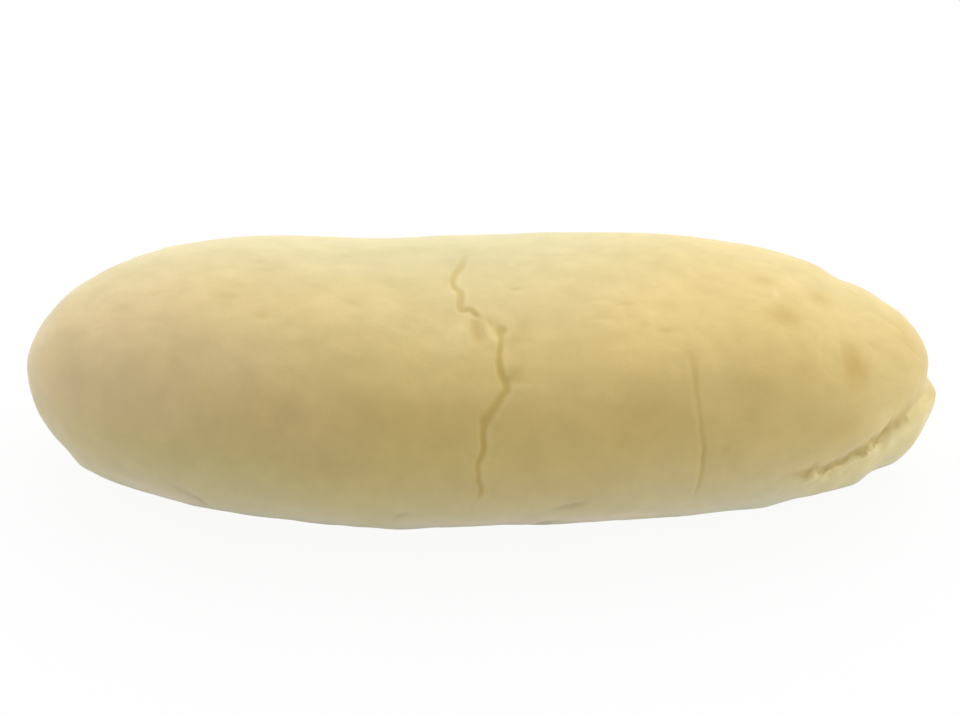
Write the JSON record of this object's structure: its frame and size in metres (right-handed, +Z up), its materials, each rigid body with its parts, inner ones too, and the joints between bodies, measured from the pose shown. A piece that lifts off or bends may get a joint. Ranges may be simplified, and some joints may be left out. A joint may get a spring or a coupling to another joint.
{
  "type": "egg salad roll",
  "caption": "Long soft bread roll with a pale crust, closed all round, with a ragged crack across its crown, a torn lip at one end and a flat base.",
  "frame": {"origin": "under the middle of the roll's box, on the surface it lies on", "axes": "+X along the roll towards the end with the torn lip, -Y towards the cracked front, +Z up"},
  "size_m": [0.1598, 0.0614, 0.0379],
  "materials": {
    "crust": "soft matte baked crust, pale straw yellow, browner towards one end"
  },
  "bodies": {
    "root": {"roll": "crust"}
  },
  "joints": []
}
